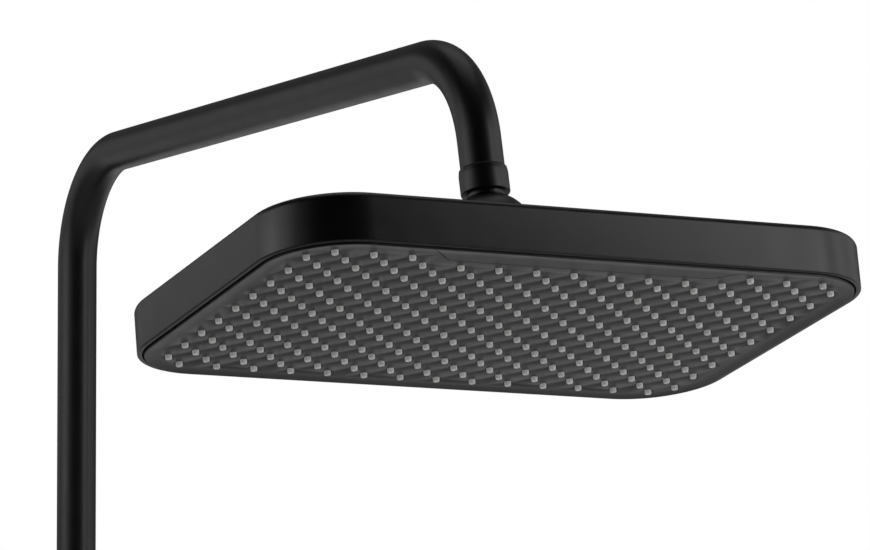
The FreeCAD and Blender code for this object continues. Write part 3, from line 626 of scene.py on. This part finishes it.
roll_axis = Vector(joints["head_roll"]["axis"])
HEAD = (Matrix.Translation(BALL) @ Matrix.Rotation(math.atan2(roll_axis.z, roll_axis.y), 4, "X")
        @ Matrix.Rotation(math.radians(ROLL), 4, "Y"))
cap_low, cap_high = extent("socket_cap", HEAD)
CAP_R = cap_high.x
CAP_INNER_R = CAP_R - CAP_WALL


def mouth_height(radius):
    """Height at which the mouth's wall meets a sphere about the dome's centre."""
    return CAP_CENTRE + math.sqrt(radius ** 2 - CAP_MOUTH_R ** 2)


near_mouth = math.degrees(math.asin((CAP_MOUTH_R + 2 * CAP_MOUTH_ROUND) / CAP_R))
dome = lathe([(CAP_R, cap_low.z, 0.4)] + arc(CAP_R, 90, near_mouth, 24, CAP_CENTRE)
             + [(CAP_MOUTH_R, mouth_height(CAP_R), CAP_MOUTH_ROUND),
                (CAP_MOUTH_R, mouth_height(CAP_INNER_R), 0.3)]
             + arc(CAP_INNER_R, near_mouth + CAP_INNER_TURN, 90, 16, CAP_CENTRE)
             + [(CAP_INNER_R, cap_low.z)], HEAD, 128)
stand_in("socket_cap", dome, "head", "black_coat", black_coat)
stand_in("socket_ring_nut", refined("socket_ring_nut"), "head", "brass", bare_brass)
stand_in("socket_body", refined("socket_body"), "head", "brass", bare_brass)
stand_in("ball_seat_upper", refined("ball_seat_upper"),
         "upper_seat", "bearing_white", white_acetal)
stand_in("ball_seat_lower", refined("ball_seat_lower"),
         "lower_seat", "bearing_white", white_acetal)
stand_in("ball_seal", refined("ball_seal"), "head", "rubber", black_rubber)


# ---- head housing -------------------------------------------------------------------------------
# One moulded shell: flat top, side wall all round with a soft upper edge, and a fine lip below.

HEAD_CORNER_R = 42.0
HEAD_WALL = 2.6
TOP_EDGE_R = 4.0
LIP_EDGE_R = 0.9
TOP_INSET = 30.0         # where the flat top's inner part starts
SHELL_MOUTH_R = 12.1
CORNER_STEPS = 24
SIDE_STEPS = 6

black_shell = finish("black_shell", (0.0052, 0.0052, 0.0056), (0.0072, 0.0072, 0.0076),
                     rough=0.34, swing=0.05, grain=0.5, relief=0.005)

shell_low, shell_high = extent("head_housing", HEAD)
HEAD_HALF_X = (shell_high.x - shell_low.x) / 2
HEAD_HALF_Y = (shell_high.y - shell_low.y) / 2
LIP_Z = shell_low.z
TOP_Z = shell_high.z


def head_outline(inset):
    """Points of the head's outline moved inwards, the same number for any inset."""
    radius = HEAD_CORNER_R - inset
    points = []
    reach = (HEAD_HALF_X - HEAD_CORNER_R, HEAD_HALF_Y - HEAD_CORNER_R)
    for turn, sign_x, sign_y in ((0, 1, 1), (90, -1, 1), (180, -1, -1), (270, 1, -1)):
        centre = Vector((sign_x * reach[0], sign_y * reach[1]))
        for k in range(CORNER_STEPS + 1):
            angle = math.radians(turn + 90 * k / CORNER_STEPS)
            points.append(centre + Vector((math.cos(angle), math.sin(angle))) * radius)
    whole = []
    for i, point in enumerate(points):
        whole.append(point)
        following = points[(i + 1) % len(points)]
        if (i + 1) % (CORNER_STEPS + 1) == 0:
            for k in range(1, SIDE_STEPS):
                whole.append(point.lerp(following, k / SIDE_STEPS))
    return whole


def round_head(profile, steps, closed=True):
    """A band or ring that follows the head's outline, from a profile of (inset, z, round)."""
    band = bmesh.new()
    loops = []
    for inset, z in rounded(profile, steps):
        loops.append([band.verts.new((point.x, point.y, z)) for point in head_outline(inset)])
    skin(band, loops, closed)
    return band


def shell_of_head():
    """The wall as a band, closed by a flat top with the ball joint's opening."""
    ceiling = TOP_Z - HEAD_WALL
    profile = [(TOP_INSET, TOP_Z), (0, TOP_Z, TOP_EDGE_R), (0, LIP_Z, LIP_EDGE_R),
               (HEAD_WALL, LIP_Z, 0.5), (HEAD_WALL, ceiling, 1.0), (TOP_INSET, ceiling)]
    shell = round_head(profile, 10, closed=False)
    shell.verts.ensure_lookup_table()
    count = len(head_outline(0))
    rims = []
    for loop, height in ((shell.verts[:count], TOP_Z), (shell.verts[-count:], ceiling)):
        rim = []
        for vert in loop:
            angle = math.atan2(vert.co.y, vert.co.x)
            rim.append(shell.verts.new((SHELL_MOUTH_R * math.cos(angle),
                                        SHELL_MOUTH_R * math.sin(angle), height)))
        skin(shell, [loop, rim], closed=False)
        rims.append(rim)
    skin(shell, rims, closed=False)
    return placed(shell, HEAD)


stand_in("head_housing", shell_of_head(), "head", "black_shell", black_shell)


# ---- face plate ---------------------------------------------------------------------------------
# Moulded plate with a hole for each nozzle, its border coming down to the edge in a soft slope. A
# fine line, cut in near the front edge, turns outwards at both ends.

PLATE_GAP = 0.9
PLATE_INSET = HEAD_WALL + PLATE_GAP
PLATE_THICK = 2.3
RIM_WALL = 4.3
DISH = 0.8               # how far the border comes down
DISH_WIDTH = 7.0
DISH_STEPS = 10
EDGE_LAND = 0.5
DISH_INSET = PLATE_INSET + EDGE_LAND + DISH_WIDTH
LINE_Y = -87.8
LINE_HALF = 70.0         # middle to the bend
LINE_BEND_R = 8.0
LINE_TURN = 46.4         # degrees
LINE_LEG = 20.3
LINE_WIDTH = 0.45
LINE_DEPTH = 0.3
LINE_STEPS = 14
ROW_STEP = 10.0
ROWS = 9
COLUMNS = 14
STRIP_COLUMNS = 8
HOLE_R = 2.35
HOLE_ROUND = 0.18
HOLE_SIDES = 20
HOLE_WELD = 0.02
PLATE_WELD = 0.01

face_black = finish("face_black", (0.014, 0.014, 0.0145), (0.019, 0.019, 0.0195),
                    rough=0.38, swing=0.06, grain=0.6, relief=0.006)

plate_low, plate_high = extent("face_plate", HEAD)
FACE_Z = plate_low.z + DISH
PLATE_TOP_Z = plate_high.z


def new_tree(name, sizes):
    """A geometry tree with an input for each size and for the finish, and its two end nodes."""
    tree = bpy.data.node_groups.new(name, "GeometryNodeTree")
    for in_out in ("INPUT", "OUTPUT"):
        tree.interface.new_socket("Geometry", in_out=in_out, socket_type="NodeSocketGeometry")
    for label, value in sizes.items():
        size = tree.interface.new_socket(label, in_out="INPUT", socket_type="NodeSocketFloat")
        size.default_value = value
    tree.interface.new_socket("Finish", in_out="INPUT", socket_type="NodeSocketMaterial")
    return tree, tree.nodes.new("NodeGroupInput"), tree.nodes.new("NodeGroupOutput")


def position(tree):
    """Where a point is."""
    return add(tree, "GeometryNodeInputPosition").outputs[0]


def raised_by(tree, height):
    """A move upwards."""
    return add(tree, "ShaderNodeCombineXYZ", {"Z": height}).outputs[0]


def nozzle_field(tree, given):
    """Points at the nozzles: every second one of a square grid, without the front row's middle."""
    step = given.outputs["Step"]
    grid = add(tree, "GeometryNodeMeshGrid", {
        "Size X": maths(tree, "MULTIPLY", step, 2 * COLUMNS), "Vertices X": 2 * COLUMNS + 1,
        "Size Y": maths(tree, "MULTIPLY", step, 2 * ROWS), "Vertices Y": 2 * ROWS + 1})
    spot = add(tree, "ShaderNodeSeparateXYZ", {0: position(tree)})
    column = maths(tree, "DIVIDE", spot.outputs["X"], step)
    row = maths(tree, "DIVIDE", spot.outputs["Y"], step)
    both = maths(tree, "ROUND", maths(tree, "ADD", column, row))
    skipped = maths(tree, "GREATER_THAN", maths(tree, "PINGPONG", both, 1.0), 0.5)
    front = maths(tree, "LESS_THAN", row, 0.5 - ROWS)
    middle = maths(tree, "LESS_THAN", maths(tree, "ABSOLUTE", column), given.outputs["Front gap"])
    bare = maths(tree, "MAXIMUM", skipped, maths(tree, "MULTIPLY", front, middle))
    return add(tree, "GeometryNodeDeleteGeometry", {"Geometry": grid.outputs["Mesh"],
                                                    "Selection": bare}, domain="POINT").outputs[0]


def standing_at(tree, points, shape):
    """The shape at every point, as real geometry."""
    copies = add(tree, "GeometryNodeInstanceOnPoints", {"Points": points, "Instance": shape})
    return add(tree, "GeometryNodeRealizeInstances", {"Geometry": copies.outputs[0]}).outputs[0]


def join_in(tree, *shapes):
    """Several geometries as one."""
    whole = add(tree, "GeometryNodeJoinGeometry")
    for shape in shapes:
        tree.links.new(shape, whole.inputs[0])
    return whole.outputs[0]


def ring_stack(tree, sides, rings):
    """An open stack of rings about Z, each given by its radius and its height."""
    circle = add(tree, "GeometryNodeMeshCircle", {"Vertices": sides, "Radius": rings[0][0]})
    shape = add(tree, "GeometryNodeTransform", {
        "Geometry": circle.outputs[0], "Translation": raised_by(tree, rings[0][1])}).outputs[0]
    top = True
    for radius, height in rings[1:]:
        grown = add(tree, "GeometryNodeExtrudeMesh", {"Mesh": shape, "Selection": top,
                                                      "Offset Scale": 0.0}, mode="EDGES")
        level = add(tree, "ShaderNodeVectorMath", {0: position(tree), 1: (1, 1, 0)},
                    operation="MULTIPLY")
        aim = add(tree, "ShaderNodeVectorMath", {0: level.outputs[0]}, operation="NORMALIZE")
        reach = add(tree, "ShaderNodeVectorMath", {0: aim.outputs[0], "Scale": radius},
                    operation="SCALE")
        target = add(tree, "ShaderNodeVectorMath", {0: reach.outputs[0],
                                                    1: raised_by(tree, height)}, operation="ADD")
        top = grown.outputs["Top"]
        shape = add(tree, "GeometryNodeSetPosition", {
            "Geometry": grown.outputs["Mesh"], "Selection": top,
            "Position": target.outputs[0]}).outputs[0]
    return shape


def grown_by(solid, tree, material, sizes):
    """What a geometry tree makes of a bmesh, as a bmesh in millimetres."""
    piece = as_piece("growing", solid)
    growth = piece.modifiers.new("growth", "NODES")
    growth.node_group = tree
    for item in tree.interface.items_tree:
        if item.in_out == "INPUT" and item.name in sizes:
            growth[item.identifier] = sizes[item.name]
        if item.in_out == "INPUT" and item.name == "Finish":
            growth[item.identifier] = material
    piece.data.update()
    final = piece.evaluated_get(bpy.context.evaluated_depsgraph_get())
    grown = bmesh.new()
    grown.from_mesh(bpy.data.meshes.new_from_object(final))
    grown.transform(Matrix.Scale(1 / MM, 4))
    bpy.data.objects.remove(piece)
    return grown


def perforated_sheet(sizes):
    """Tree for a plate of the outline that it is given, with a rounded hole at each nozzle."""
    tree, given, result = new_tree("perforated_sheet", sizes)
    points = nozzle_field(tree, given)
    hole = given.outputs["Hole"]
    face = given.outputs["Face"]
    mouth = maths(tree, "ADD", hole, given.outputs["Round"])
    back = maths(tree, "ADD", face, given.outputs["Depth"])
    outline = add(tree, "GeometryNodeMeshToCurve", {"Mesh": given.outputs["Geometry"]}).outputs[0]
    sheets = []
    for radius, height in ((mouth, face), (hole, back)):
        circle = add(tree, "GeometryNodeCurvePrimitiveCircle", {"Resolution": HOLE_SIDES,
                                                                "Radius": radius}).outputs[0]
        curves = join_in(tree, standing_at(tree, points, circle), outline)
        sheet = add(tree, "GeometryNodeFillCurve", {"Curve": curves})
        flat = add(tree, "GeometryNodeTransform", {"Geometry": sheet.outputs[0],
                                                   "Translation": raised_by(tree, height)})
        sheets.append(flat.outputs[0])
    rounding = maths(tree, "MULTIPLY", given.outputs["Round"], 0.3)
    sleeve = ring_stack(tree, HOLE_SIDES, [
        (mouth, face), (maths(tree, "ADD", hole, rounding), maths(tree, "ADD", face, rounding)),
        (hole, maths(tree, "ADD", face, given.outputs["Round"])), (hole, back)])
    whole = join_in(tree, *sheets, standing_at(tree, points, sleeve))
    merged = add(tree, "GeometryNodeMergeByDistance", {"Geometry": whole,
                                                       "Distance": HOLE_WELD * MM})
    coloured = add(tree, "GeometryNodeSetMaterial", {"Geometry": merged.outputs[0],
                                                     "Material": given.outputs["Finish"]})
    tree.links.new(coloured.outputs[0], result.inputs[0])
    return tree


def dish_height(inset):
    """Height of the plate's surface at a distance from the head's outline."""
    outwards = min(1, max(0, (DISH_INSET - inset) / DISH_WIDTH))
    return FACE_Z - DISH * outwards ** 1.5


def dished_edge():
    """The plate's border, from its flat middle down the slope, up its side and to its back."""
    profile = []
    for k in range(DISH_STEPS + 1):
        inset = DISH_INSET - DISH_WIDTH * k / DISH_STEPS
        profile.append((inset, dish_height(inset)))
    rim_inset = PLATE_INSET + RIM_WALL
    profile += [(PLATE_INSET, FACE_Z - DISH, 0.4), (PLATE_INSET, PLATE_TOP_Z, 0.3),
                (rim_inset, PLATE_TOP_Z), (rim_inset, FACE_Z + PLATE_THICK),
                (DISH_INSET, FACE_Z + PLATE_THICK)]
    return round_head(profile, 5, closed=False)


def engraving():
    """What the thin line takes out of the plate. Its floor follows the slope at a steady depth."""
    turn = math.radians(LINE_TURN)
    leg = Vector((math.cos(turn), -math.sin(turn))) * LINE_LEG
    right = Vector((LINE_HALF, LINE_Y))
    corners = [(-right.x, right.y, LINE_BEND_R), (right.x, right.y, LINE_BEND_R)]
    for k in range(1 + LINE_STEPS // 2, LINE_STEPS + 1):
        spot = right + leg * k / LINE_STEPS
        corners.append((spot.x, spot.y))
        corners.insert(0, (-spot.x, spot.y))
    route = rounded(corners, 8)
    groove = bmesh.new()
    rows = []
    for i, spot in enumerate(route):
        ahead = (route[min(i + 1, len(route) - 1)] - route[max(i - 1, 0)]).normalized()
        across = Vector((-ahead.y, ahead.x))
        surface = dish_height(HEAD_HALF_Y + spot.y)
        row = []
        for aside, rise in ((-LINE_WIDTH, -2 * LINE_DEPTH), (-LINE_WIDTH / 3, LINE_DEPTH),
                            (LINE_WIDTH / 3, LINE_DEPTH), (LINE_WIDTH, -2 * LINE_DEPTH)):
            place = spot + across * aside
            row.append(groove.verts.new((place.x, place.y, surface + rise)))
        rows.append(row)
    skin(groove, rows, closed=False)
    groove.faces.new(rows[0])
    groove.faces.new(rows[-1])
    return placed(groove, HEAD)


def outline_loop(inset):
    """The head's outline at an inset, as a bare loop of edges."""
    loop = bmesh.new()
    verts = [loop.verts.new((point.x, point.y, 0)) for point in head_outline(inset)]
    for k, vert in enumerate(verts):
        loop.edges.new((vert, verts[(k + 1) % len(verts)]))
    return loop


field_sizes = {"Step": ROW_STEP * MM, "Front gap": STRIP_COLUMNS - 0.5}
sheet_sizes = {**field_sizes, "Hole": HOLE_R * MM, "Round": HOLE_ROUND * MM,
               "Face": FACE_Z * MM, "Depth": PLATE_THICK * MM}
middle = grown_by(outline_loop(DISH_INSET), perforated_sheet(sheet_sizes), face_black, sheet_sizes)
plate = joined(middle, dished_edge())
bmesh.ops.remove_doubles(plate, verts=plate.verts, dist=PLATE_WELD)
plate = as_piece("face_plate_dressed", placed(plate, HEAD), 40)
dress(cut_by(plate, engraving(), crease=40), "head", "face_black", face_black, "face_plate")


# ---- nozzle mat ---------------------------------------------------------------------------------
# One sheet of grey silicone behind the plate. Each of its nozzles stands through a hole, tapers to
# a soft rim and has a fine orifice in a small dimple.

MAT_THICK = 1.8
MAT_INSET = 8.0
MAT_INNER = 30.0         # inset of the edges inside the sheet
NOZZLE_SIDES = 14
TIP_R = 1.6
ROOT_R = 2.0
ORIFICE_R = 0.5
TIP_ROUND = 0.16         # this and the next three are parts of the tip's radius
DIMPLE = 0.62
DIMPLE_FLOOR = 0.5
ORIFICE_DEPTH = 0.8

grey_silicone = finish("grey_silicone", (0.5, 0.5, 0.49), (0.6, 0.6, 0.59),
                       rough=0.55, swing=0.06, grain=0.4, relief=0.004, level=0.4)

mat_low, mat_high = extent("nozzle_mat", HEAD)


def nozzle_rows(sizes):
    """Tree that stands a nozzle on each point of the field."""
    tree, given, result = new_tree("nozzle_rows", sizes)
    tip = given.outputs["Tip"]
    low = given.outputs["Low"]
    orifice = given.outputs["Orifice"]
    soft = maths(tree, "MULTIPLY", tip, TIP_ROUND)
    soft_z = maths(tree, "ADD", low, soft)
    nozzle = ring_stack(tree, NOZZLE_SIDES, [
        (given.outputs["Root"], given.outputs["High"]), (tip, soft_z),
        (maths(tree, "SUBTRACT", tip, soft), low), (maths(tree, "MULTIPLY", tip, DIMPLE), low),
        (maths(tree, "MULTIPLY", tip, DIMPLE_FLOOR), soft_z), (orifice, soft_z),
        (orifice, maths(tree, "ADD", low, maths(tree, "MULTIPLY", tip, ORIFICE_DEPTH)))])
    nozzles = standing_at(tree, nozzle_field(tree, given), nozzle)
    coloured = add(tree, "GeometryNodeSetMaterial", {
        "Geometry": join_in(tree, nozzles, given.outputs["Geometry"]),
        "Material": given.outputs["Finish"]})
    tree.links.new(coloured.outputs[0], result.inputs[0])
    return tree


mat_back = mat_high.z - MAT_THICK
sheet = round_head([(MAT_INSET, mat_back), (MAT_INSET, mat_high.z, 0.3), (MAT_INNER, mat_high.z),
                    (MAT_INNER, mat_back)], 3)
for height in (mat_back, mat_high.z):
    sheet.faces.new([sheet.verts.new((*point, height)) for point in head_outline(MAT_INNER)])
bmesh.ops.remove_doubles(sheet, verts=sheet.verts, dist=WELD)
mat_sizes = {**field_sizes, "Root": ROOT_R * MM, "Tip": TIP_R * MM, "Orifice": ORIFICE_R * MM,
             "Low": mat_low.z * MM, "High": mat_back * MM}
mat = grown_by(placed(sheet, Matrix()), nozzle_rows(mat_sizes), grey_silicone, mat_sizes)
mat.transform(HEAD)
stand_in("nozzle_mat", placed(mat, Matrix()), "head", "silicone", grey_silicone, crease=50)


# ---- rim seal -----------------------------------------------------------------------------------
# A soft strip at the bottom of the groove between the shell's lip and the plate.

strip_low, strip_high = extent("rim_seal", HEAD)
strip = round_head([(HEAD_WALL, strip_low.z, 0.3), (PLATE_INSET, strip_low.z, 0.3),
                    (PLATE_INSET, strip_high.z), (HEAD_WALL, strip_high.z)], 4)
stand_in("rim_seal", placed(strip, HEAD), "head", "rubber", black_rubber)


# ---- inner pieces -------------------------------------------------------------------------------
# Rings, washers and the water box, closed in by the tubes and the head. They show their solids,
# each in its own finish.

inner_finish = {
    "riser_olive": bare_brass, "riser_coupler": bare_brass, "arm_nipple": bare_brass,
    "coupler_o_rings": black_rubber, "inlet_o_ring": black_rubber, "stem_washer": black_rubber,
    "arm_thrust_washer": white_acetal, "flow_restrictor": white_acetal,
    "filter_screen": bright_steel, "chamber_screws": bright_steel, "chamber_cover": black_plastic,
}
for node, material in inner_finish.items():
    frame["nodes"][node].data.materials.clear()
    frame["nodes"][node].data.materials.append(material)


# ---- floor, light and camera --------------------------------------------------------------------
# A white room with a pale floor. Soft lights stand at both sides. The floor glows all over for matt
# surfaces, and the floor and room glow a little behind the object. The camera stands low at the
# column's left with a long lens.

CAMERA_AT = (-1280.89, -3081.89, 469.81)
CAMERA_TURN = (-26.588, 6.037, 0.149)     # degrees: to the right, upwards, and about the view
CAMERA_LENS = 240.0
SENSOR_WIDTH = 36.0
FLOOR_Z = -120.0
FLOOR_HALF = 6000.0
FLOOR_SEEN = 0.6         # what the floor adds where the camera sees it
FLOOR_MATT_GLOW = 0.65       # how brightly the floor glows all over, lighting matt surfaces
FLOOR_GLOW = 0.54        # and behind the object to glossy ones, over this stretch in metres
GLOW_START, GLOW_END = 0.3, 1.7
ROOM_GLOW = 0.12         # and the room behind
ROOM_EDGE = 0.7

camera = bpy.data.objects.new("camera", bpy.data.cameras.new("camera"))
bpy.context.collection.objects.link(camera)
yaw, pitch, roll = (math.radians(turn) for turn in CAMERA_TURN)
look = Matrix.Rotation(yaw, 4, "Z") @ Matrix.Rotation(pitch, 4, "X")
look = look @ Matrix.Rotation(roll, 4, "Y") @ Matrix.Rotation(math.radians(90), 4, "X")
camera.matrix_world = Matrix.Translation(Vector(CAMERA_AT) * MM) @ look
camera.data.lens = CAMERA_LENS
camera.data.sensor_width = SENSOR_WIDTH
camera.data.clip_end = 100.0
bpy.context.scene.camera = camera
BACKWARDS = Vector((math.sin(-yaw), math.cos(yaw), 0))


def glow_behind(tree, where, start, end, level):
    """A glow that grows from the start to the end of a stretch behind the object."""
    away = add(tree, "ShaderNodeVectorMath", {0: where, 1: BACKWARDS}, operation="DOT_PRODUCT")
    return add(tree, "ShaderNodeMapRange", {
        "Value": away.outputs["Value"], "From Min": start, "From Max": end, "To Max": level},
        interpolation_type="SMOOTHSTEP").outputs["Result"]


ground = bmesh.new()
ground.faces.new([ground.verts.new((x * FLOOR_HALF, y * FLOOR_HALF, FLOOR_Z))
                  for x, y in ((-1, -1), (1, -1), (1, 1), (-1, 1))])
floor = as_piece("floor", ground)
pale = bpy.data.materials.new("pale_floor")
pale.use_nodes = True
tree = pale.node_tree
shader = tree.nodes["Principled BSDF"]
feed(tree, shader, {"Base Color": (0.8, 0.8, 0.8, 1), "Roughness": 0.7})
path = add(tree, "ShaderNodeLightPath")
spot = add(tree, "ShaderNodeTexCoord").outputs["Object"]
# The floor glows for diffuse rays all over, so it lights matt surfaces as a lamp would.
matt = maths(tree, "MULTIPLY", path.outputs["Is Diffuse Ray"], FLOOR_MATT_GLOW)
seen = maths(tree, "MULTIPLY_ADD", path.outputs["Is Camera Ray"], FLOOR_SEEN, matt)
lit = glow_behind(tree, spot, GLOW_START, GLOW_END, FLOOR_GLOW)
blend = add(tree, "ShaderNodeMixShader", {
    "Fac": maths(tree, "MAXIMUM", seen, lit), 1: shader.outputs[0],
    2: add(tree, "ShaderNodeEmission").outputs[0]})
feed(tree, tree.nodes["Material Output"], {"Surface": blend.outputs[0]})
floor.data.materials.append(pale)

world = bpy.data.worlds.new("studio")
bpy.context.scene.world = world
world.use_nodes = True
tree = world.node_tree
direction = add(tree, "ShaderNodeTexCoord").outputs["Generated"]
camera_ray = add(tree, "ShaderNodeLightPath").outputs["Is Camera Ray"]
room = maths(tree, "MAXIMUM", camera_ray, glow_behind(tree, direction, 0, ROOM_EDGE, ROOM_GLOW))
feed(tree, tree.nodes["Background"], {"Strength": room, "Color": (1, 1, 1, 1)})

HEAD_MIDDLE = BALL * MM


def soft_light(name, azimuth, elevation, distance, width, height, power):
    """A rectangular light aimed at the head. Azimuth is from the camera, positive to its right."""
    lamp = bpy.data.lights.new(name, "AREA")
    lamp.shape = "RECTANGLE"
    lamp.size = width
    lamp.size_y = height
    lamp.energy = power
    to_camera = Vector(CAMERA_AT) * MM - HEAD_MIDDLE
    turn = math.atan2(to_camera.y, to_camera.x) + math.radians(azimuth)
    rise = math.radians(elevation)
    level = math.cos(rise)
    aim = Vector((math.cos(turn) * level, math.sin(turn) * level, math.sin(rise)))
    holder = bpy.data.objects.new(name, lamp)
    bpy.context.collection.objects.link(holder)
    holder.location = HEAD_MIDDLE + aim * distance
    holder.rotation_euler = aim.to_track_quat("Z", "Y").to_euler()


soft_light("left_window", -75, 12, 1.8, 1.0, 1.3, 4.6)
soft_light("left_side", -95, 5, 1.8, 0.9, 0.8, 2.3)
soft_light("left_back", -127, 10, 1.8, 0.9, 0.8, 0.8)
soft_light("right_near", 68, 5, 0.8, 0.3, 1.2, 2.7)
soft_light("right_side", 98, 5, 1.5, 0.5, 1.8, 4.1)
soft_light("right_back", 125, 5, 1.6, 0.8, 1.8, 2.2)
soft_light("left_near", -48, 12, 1.8, 0.6, 1.3, 0.5)
soft_light("top_light", 180, 75, 2.0, 1.5, 1.5, 4.0)

bpy.context.scene.view_settings.view_transform = "Standard"
